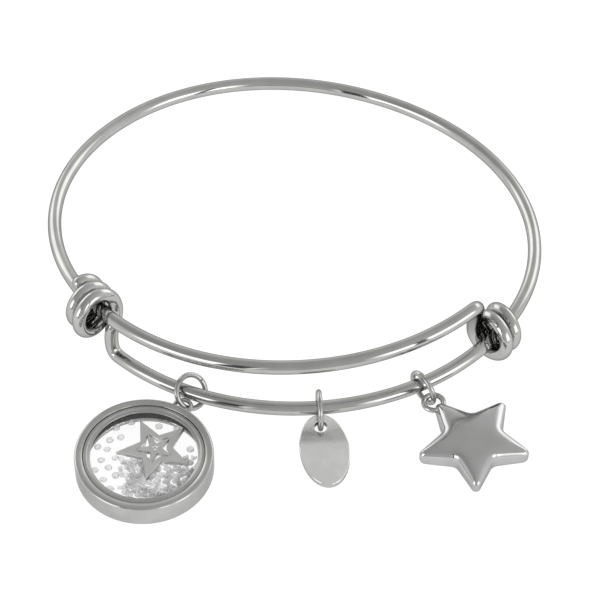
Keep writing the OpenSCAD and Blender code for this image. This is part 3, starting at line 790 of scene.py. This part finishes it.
def starOutline():
    corners = starPoints(star["tip"], star["notch"])
    rounds = (star["tipRound"], star["notchRound"])
    bends = [roundedCorner(corners[i - 1], corners[i], corners[(i + 1) % 10], rounds[i % 2],
                           star["cornerSteps"]) for i in range(10)]
    outline = []
    for i, bend in enumerate(bends):
        nextStart = bends[(i + 1) % 10][0]
        outline += bend
        outline += [bend[-1].lerp(nextStart, k / star["sideSteps"]) for k in range(1, star["sideSteps"])]
    return outline


# Near an edge this is the distance to it, and between edges it stays smooth
def softDistance(p, outline):
    total, shortest, nearest = 0, 1e-7, 1e-12
    for i, b in enumerate(outline):
        a = outline[i - 1]
        side = b - a
        length = side.length
        if length < shortest:
            continue
        side = side / length
        start = (a - p).dot(side)
        end = start + length
        off = max((a - p).length_squared - start * start, nearest)
        total += (end / sqrt(off + end * end) - start / sqrt(off + start * start)) / off
    return sqrt(2 / total)


def puffedStar(middle):
    outline = starOutline()
    edge, crown = star["edge"], star["height"] - star["edge"]
    rings = star["rings"]
    n = len(outline)
    turn = Matrix.Rotation(radians(star["turn"] + 180), 3, "Z")

    # Over the top the height follows a smooth distance from the outline, so no ridge runs up the arms
    def crownHeight(p):
        share = 1 - exp(-softDistance(p, outline) / star["shoulder"])
        dome = 1 - (p.length / star["tip"]) ** 2
        return edge + crown * (share * (1 - star["dome"]) + dome * star["dome"] * share)

    shares = [star["crownStart"] * (1 - k / rings) for k in range(1, rings)]
    peak = crownHeight(Vector((0, 0)))
    grain = [(*(s * p), z * edge) for s, z in starEdge for p in outline]
    grain += [(*(s * p), crownHeight(s * p)) for s in shares for p in outline]
    grain += [(0, 0, peak), (0, 0, 0)]
    verts = [middle + turn @ Vector(g) for g in grain]
    top, bottom = len(verts) - 2, len(verts) - 1
    last = (len(starEdge) + len(shares) - 1) * n
    faces = [(g + k, g + (k + 1) % n, g + n + (k + 1) % n, g + n + k)
             for g in range(0, last, n) for k in range(n)]
    faces += [(last + k, last + (k + 1) % n, top) for k in range(n)]
    faces += [((k + 1) % n, k, bottom) for k in range(n)]
    return verts, faces, grain


def starMiddle():
    low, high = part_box("star_charm")
    outline = starOutline()
    turn = Matrix.Rotation(radians(star["turn"] + 180), 2)
    turned = [turn @ p for p in outline]
    # The star's right tip and its bottom tip give its place
    return Vector((high[0] - max(p[0] for p in turned), low[1] - min(p[1] for p in turned), 0))


starAt = starMiddle()
hanger = hangingLoop(starAt, star, star["turn"] + star["loopAngle"])
makePiece("star_charm_puffed", joinMeshes(puffedStar(starAt), hanger), steels["puffed"],
          ["star_charm"])
print("star made")


# Floor, surroundings, lights and camera
stage = dict(floor=(0.1, 0.1, 0.1), glow=0.97, floorReach=1.5, floorDrop=0.02 * mm, overhead=0.5, top=0.62,
             front=0.68, back=1.0, box=1.1, frontBox=2.0, gap=0.95, rightward=0.25)
# Each form in the surroundings fades between two values of a direction's component
fades = dict(boxSide=(0.88, 0.97), boxFoot=(0.03, 0.14), boxHead=(0.5, 0.66), boxFront=(0.1, -0.1),
             wallBack=(-1.0, -0.1), ceiling=(0.3, 0.85), gapFront=(0.0, -0.1), gapFoot=(-0.06, 0.0),
             gapHead=(0.6, 0.72), leftStart=(-0.57, -0.55), leftEnd=(-0.4, -0.38),
             rightStart=(0.60, 0.62), rightEnd=(0.67, 0.69))


def floorMaterial():
    material = bpy.data.materials.new("pale_floor")
    s = Shader(material)
    shader = s.node("ShaderNodeBsdfPrincipled", {}, {
        "Base Color": (*stage["floor"], 1), "Roughness": 0.8, "Emission Color": (1, 1, 1, 1),
        "Emission Strength": stage["glow"]})
    s.node("ShaderNodeOutputMaterial", {}, {"Surface": Signal(s, shader.outputs[0])})
    return material


floorData = bpy.data.meshes.new("floor")
reach = stage["floorReach"]
corners = [(-reach, -reach, 0), (reach, -reach, 0), (reach, reach, 0), (-reach, reach, 0)]
floorData.from_pydata(corners, [], [(0, 1, 2, 3)])
floorData.materials.append(floorMaterial())
floor = bpy.data.objects.new("floor", floorData)
floor.location = (0, 0, -stage["floorDrop"])
bpy.context.scene.collection.objects.link(floor)
floor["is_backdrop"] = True

world = bpy.data.worlds.new("studio")
bpy.context.scene.world = world
sky = Shader(world)
way = sky.add("ShaderNodeTexCoord", {}, {}, "Generated")
parts = sky.node("ShaderNodeSeparateXYZ", {}, {"Vector": way})
wayX, wayY, wayZ = (Signal(sky, parts.outputs[i]) for i in range(3))
# Four tall softboxes stand at the corners round the table, and each front one has an upright dark gap
diagonal, least = 0.7071, 0.0001
flatLength = (wayX * wayX + wayY * wayY + least) ** 0.5
corner = (abs(wayX) + abs(wayY)) * diagonal / flatLength
boxes = corner.ramp(*fades["boxSide"]) * wayZ.ramp(*fades["boxFoot"]) * (1 - wayZ.ramp(*fades["boxHead"]))
boxes = boxes * (wayY.ramp(*fades["boxFront"]) * (stage["frontBox"] - stage["box"]) + stage["box"])
around = wayY.ramp(*fades["wallBack"]) * (stage["back"] - stage["front"]) + stage["front"]
calm = wayZ.ramp(*fades["ceiling"])
front = wayY.ramp(*fades["gapFront"]) * wayZ.ramp(*fades["gapFoot"]) * (1 - wayZ.ramp(*fades["gapHead"]))
aside = wayX / flatLength
leftGap = aside.ramp(*fades["leftStart"]) * (1 - aside.ramp(*fades["leftEnd"]))
rightGap = aside.ramp(*fades["rightStart"]) * (1 - aside.ramp(*fades["rightEnd"]))
gaps = (leftGap + rightGap) * front
bright = around * (1 - calm) + calm * (stage["top"] + wayX * stage["rightward"]) + boxes
bright = bright * (1 - gaps * stage["gap"])
background = sky.node("ShaderNodeBackground", {}, {"Color": (1, 1, 0.99, 1), "Strength": bright})
sky.node("ShaderNodeOutputWorld", {}, {"Surface": Signal(sky, background.outputs[0])})


# A light that shows in no reflection
def softbox(name, azimuth, elevation, distance, size, radiance):
    light = bpy.data.lights.new(name, "AREA")
    light.shape = "RECTANGLE"
    light.size, light.size_y = size
    light.energy = radiance * pi * size[0] * size[1]
    lamp = bpy.data.objects.new(name, light)
    flat = cosDeg(elevation)
    place = Vector((sinDeg(azimuth) * flat, -cosDeg(azimuth) * flat, sinDeg(elevation)))
    lamp.location = place * distance
    lamp.rotation_euler = place.to_track_quat("Z", "Y").to_euler()
    lamp.visible_glossy = False
    lamp.visible_camera = False
    bpy.context.scene.collection.objects.link(lamp)


softbox("overhead", 0, 90, 1.5, (1.6, 1.6), stage["overhead"])

camera = dict(elevation=49.33, distance=0.35, target=(0.00078, -0.00957, 0), pixels=2655.5, frame=600,
              sensor=36)
cameraData = bpy.data.cameras.new("camera")
cameraData.sensor_width = camera["sensor"]
cameraData.lens = camera["pixels"] / camera["frame"] * camera["sensor"]
cameraData.clip_start = 0.01
viewer = bpy.data.objects.new("camera", cameraData)
back = Vector((0, -cosDeg(camera["elevation"]), sinDeg(camera["elevation"])))
viewer.location = Vector(camera["target"]) + camera["distance"] * back
viewer.rotation_euler = back.to_track_quat("Z", "Y").to_euler()
bpy.context.scene.collection.objects.link(viewer)
bpy.context.scene.camera = viewer
bpy.context.scene.view_settings.view_transform = "Standard"
print("stage made")

low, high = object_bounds()
